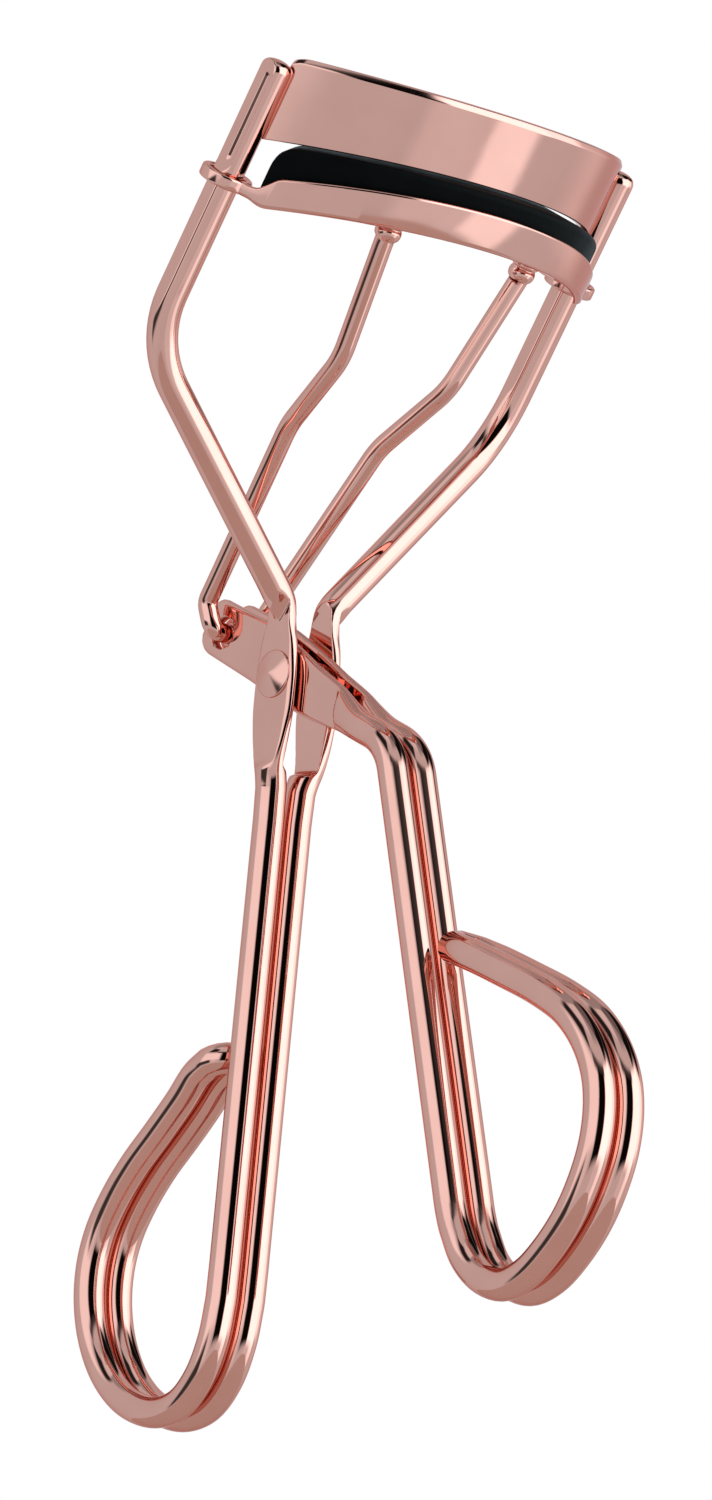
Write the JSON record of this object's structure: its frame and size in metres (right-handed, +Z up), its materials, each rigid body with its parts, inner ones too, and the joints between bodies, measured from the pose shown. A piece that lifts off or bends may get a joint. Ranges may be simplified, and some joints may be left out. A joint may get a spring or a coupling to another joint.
{
  "type": "eyelash curler",
  "caption": "Scissor-action eyelash curler: bent wire cage with curved jaws, rubber pad, push rods and two looped wire handles.",
  "frame": {"origin": "centre of the bounding box's bottom face, under the frame handle's finger loop and the lever's", "axes": "+Z up from the finger loops to the jaws; -Y is the front, the side the jaws bulge towards and the lever handle is on; +X is the curler's width, across the jaws"},
  "size_m": [0.041, 0.0596, 0.1043],
  "materials": {
    "frame_wire": "polished rose-gold plating on steel",
    "upper_jaw_plate": "polished rose-gold plating on steel",
    "pivot_rivet": "polished rose-gold plating on steel",
    "pivot_spacer": "polished rose-gold plating on steel",
    "lever_wire": "polished rose-gold plating on steel",
    "lower_jaw": "polished rose-gold plating on steel",
    "pushrod_left": "polished rose-gold plating on steel",
    "pushrod_right": "polished rose-gold plating on steel",
    "jaw_pad": "satin moulded rubber"
  },
  "bodies": {
    "frame": {"frame_wire": "frame_wire", "upper_jaw_plate": "upper_jaw_plate", "pivot_rivet": "pivot_rivet", "pivot_spacer": "pivot_spacer"},
    "lever": {"lever_wire": "lever_wire"},
    "jaw": {"lower_jaw": "lower_jaw", "jaw_pad": "jaw_pad"},
    "rods": {"pushrod_left": "pushrod_left", "pushrod_right": "pushrod_right"}
  },
  "joints": [
    {"name": "lever_pivot", "type": "hinge", "parent": "frame", "child": "lever", "pos_m": [0, 0.01176, 0.05941], "axis": [1, 0, 0], "range_deg": [-45, 1]},
    {"name": "jaw_slide", "type": "slide", "parent": "frame", "child": "jaw", "axis": [0, -0.5117, 0.8591], "range_m": [-0.00599, 0.00015]},
    {"name": "rod_swing", "type": "hinge", "parent": "jaw", "child": "rods", "pos_m": [0, -0.00252, 0.09336], "axis": [1, 0, 0], "range_deg": [-4.1, 0.14]}
  ],
  "couplings": [
    {"joint": "jaw_slide", "follows": "lever_pivot", "m_per_rad": 0.0076},
    {"joint": "rod_swing", "follows": "lever_pivot", "ratio": 0.09}
  ]
}
